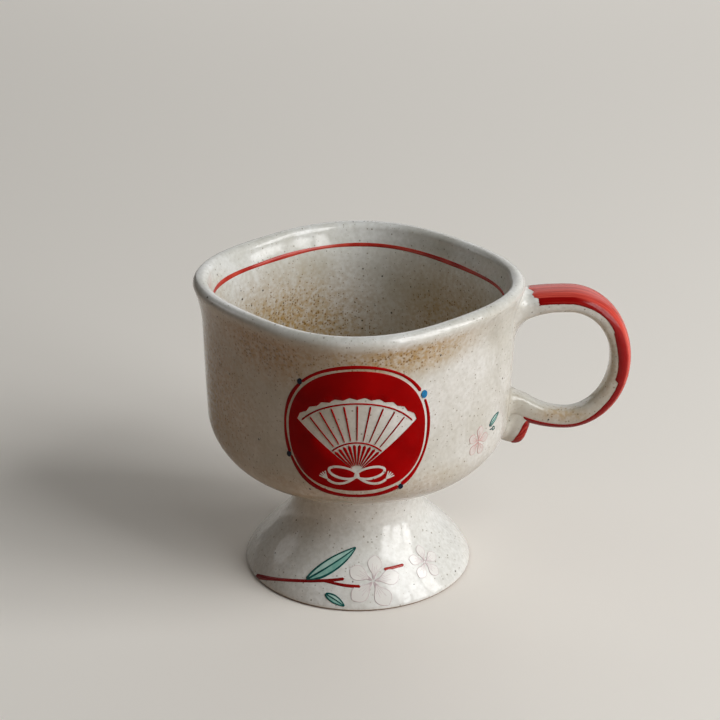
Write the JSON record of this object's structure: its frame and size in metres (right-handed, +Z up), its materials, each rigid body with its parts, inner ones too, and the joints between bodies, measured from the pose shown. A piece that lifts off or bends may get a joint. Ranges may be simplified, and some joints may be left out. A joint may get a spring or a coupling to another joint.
{
  "type": "footed ceramic mug",
  "caption": "Footed stoneware mug with a softly squared bowl, a hollow bell foot and a strap handle ending in a curl, decorated in red enamel.",
  "frame": {"origin": "centre of the foot's rest ring, on the table", "axes": "+Z up along the bowl's axis, +X towards the handle, -Y towards the decorated front"},
  "size_m": [0.1328, 0.0998, 0.096],
  "materials": {
    "stoneware_glaze": "glossy off-white glaze with fine iron speckles",
    "slip_glaze": "glossy off-white glaze over luting slip",
    "red_enamel": "glossy brushed overglaze enamel",
    "blue_enamel": "glossy overglaze enamel",
    "green_enamel": "glossy overglaze enamel",
    "pink_enamel": "thin glossy overglaze enamel"
  },
  "bodies": {
    "root": {"bowl": "stoneware_glaze", "foot": "stoneware_glaze", "handle": "stoneware_glaze", "handle_curl": "stoneware_glaze", "neck_slip": "slip_glaze", "upper_slip": "slip_glaze", "lower_slip": "slip_glaze", "rim_line": "red_enamel", "medallion_field": "red_enamel", "medallion_ring": "red_enamel", "medallion_lines": "red_enamel", "medallion_dots": "blue_enamel", "handle_enamel": "red_enamel", "curl_enamel": "red_enamel", "twig_enamel": "red_enamel", "leaf_enamel": "green_enamel", "blossom_enamel": "pink_enamel"}
  },
  "joints": []
}
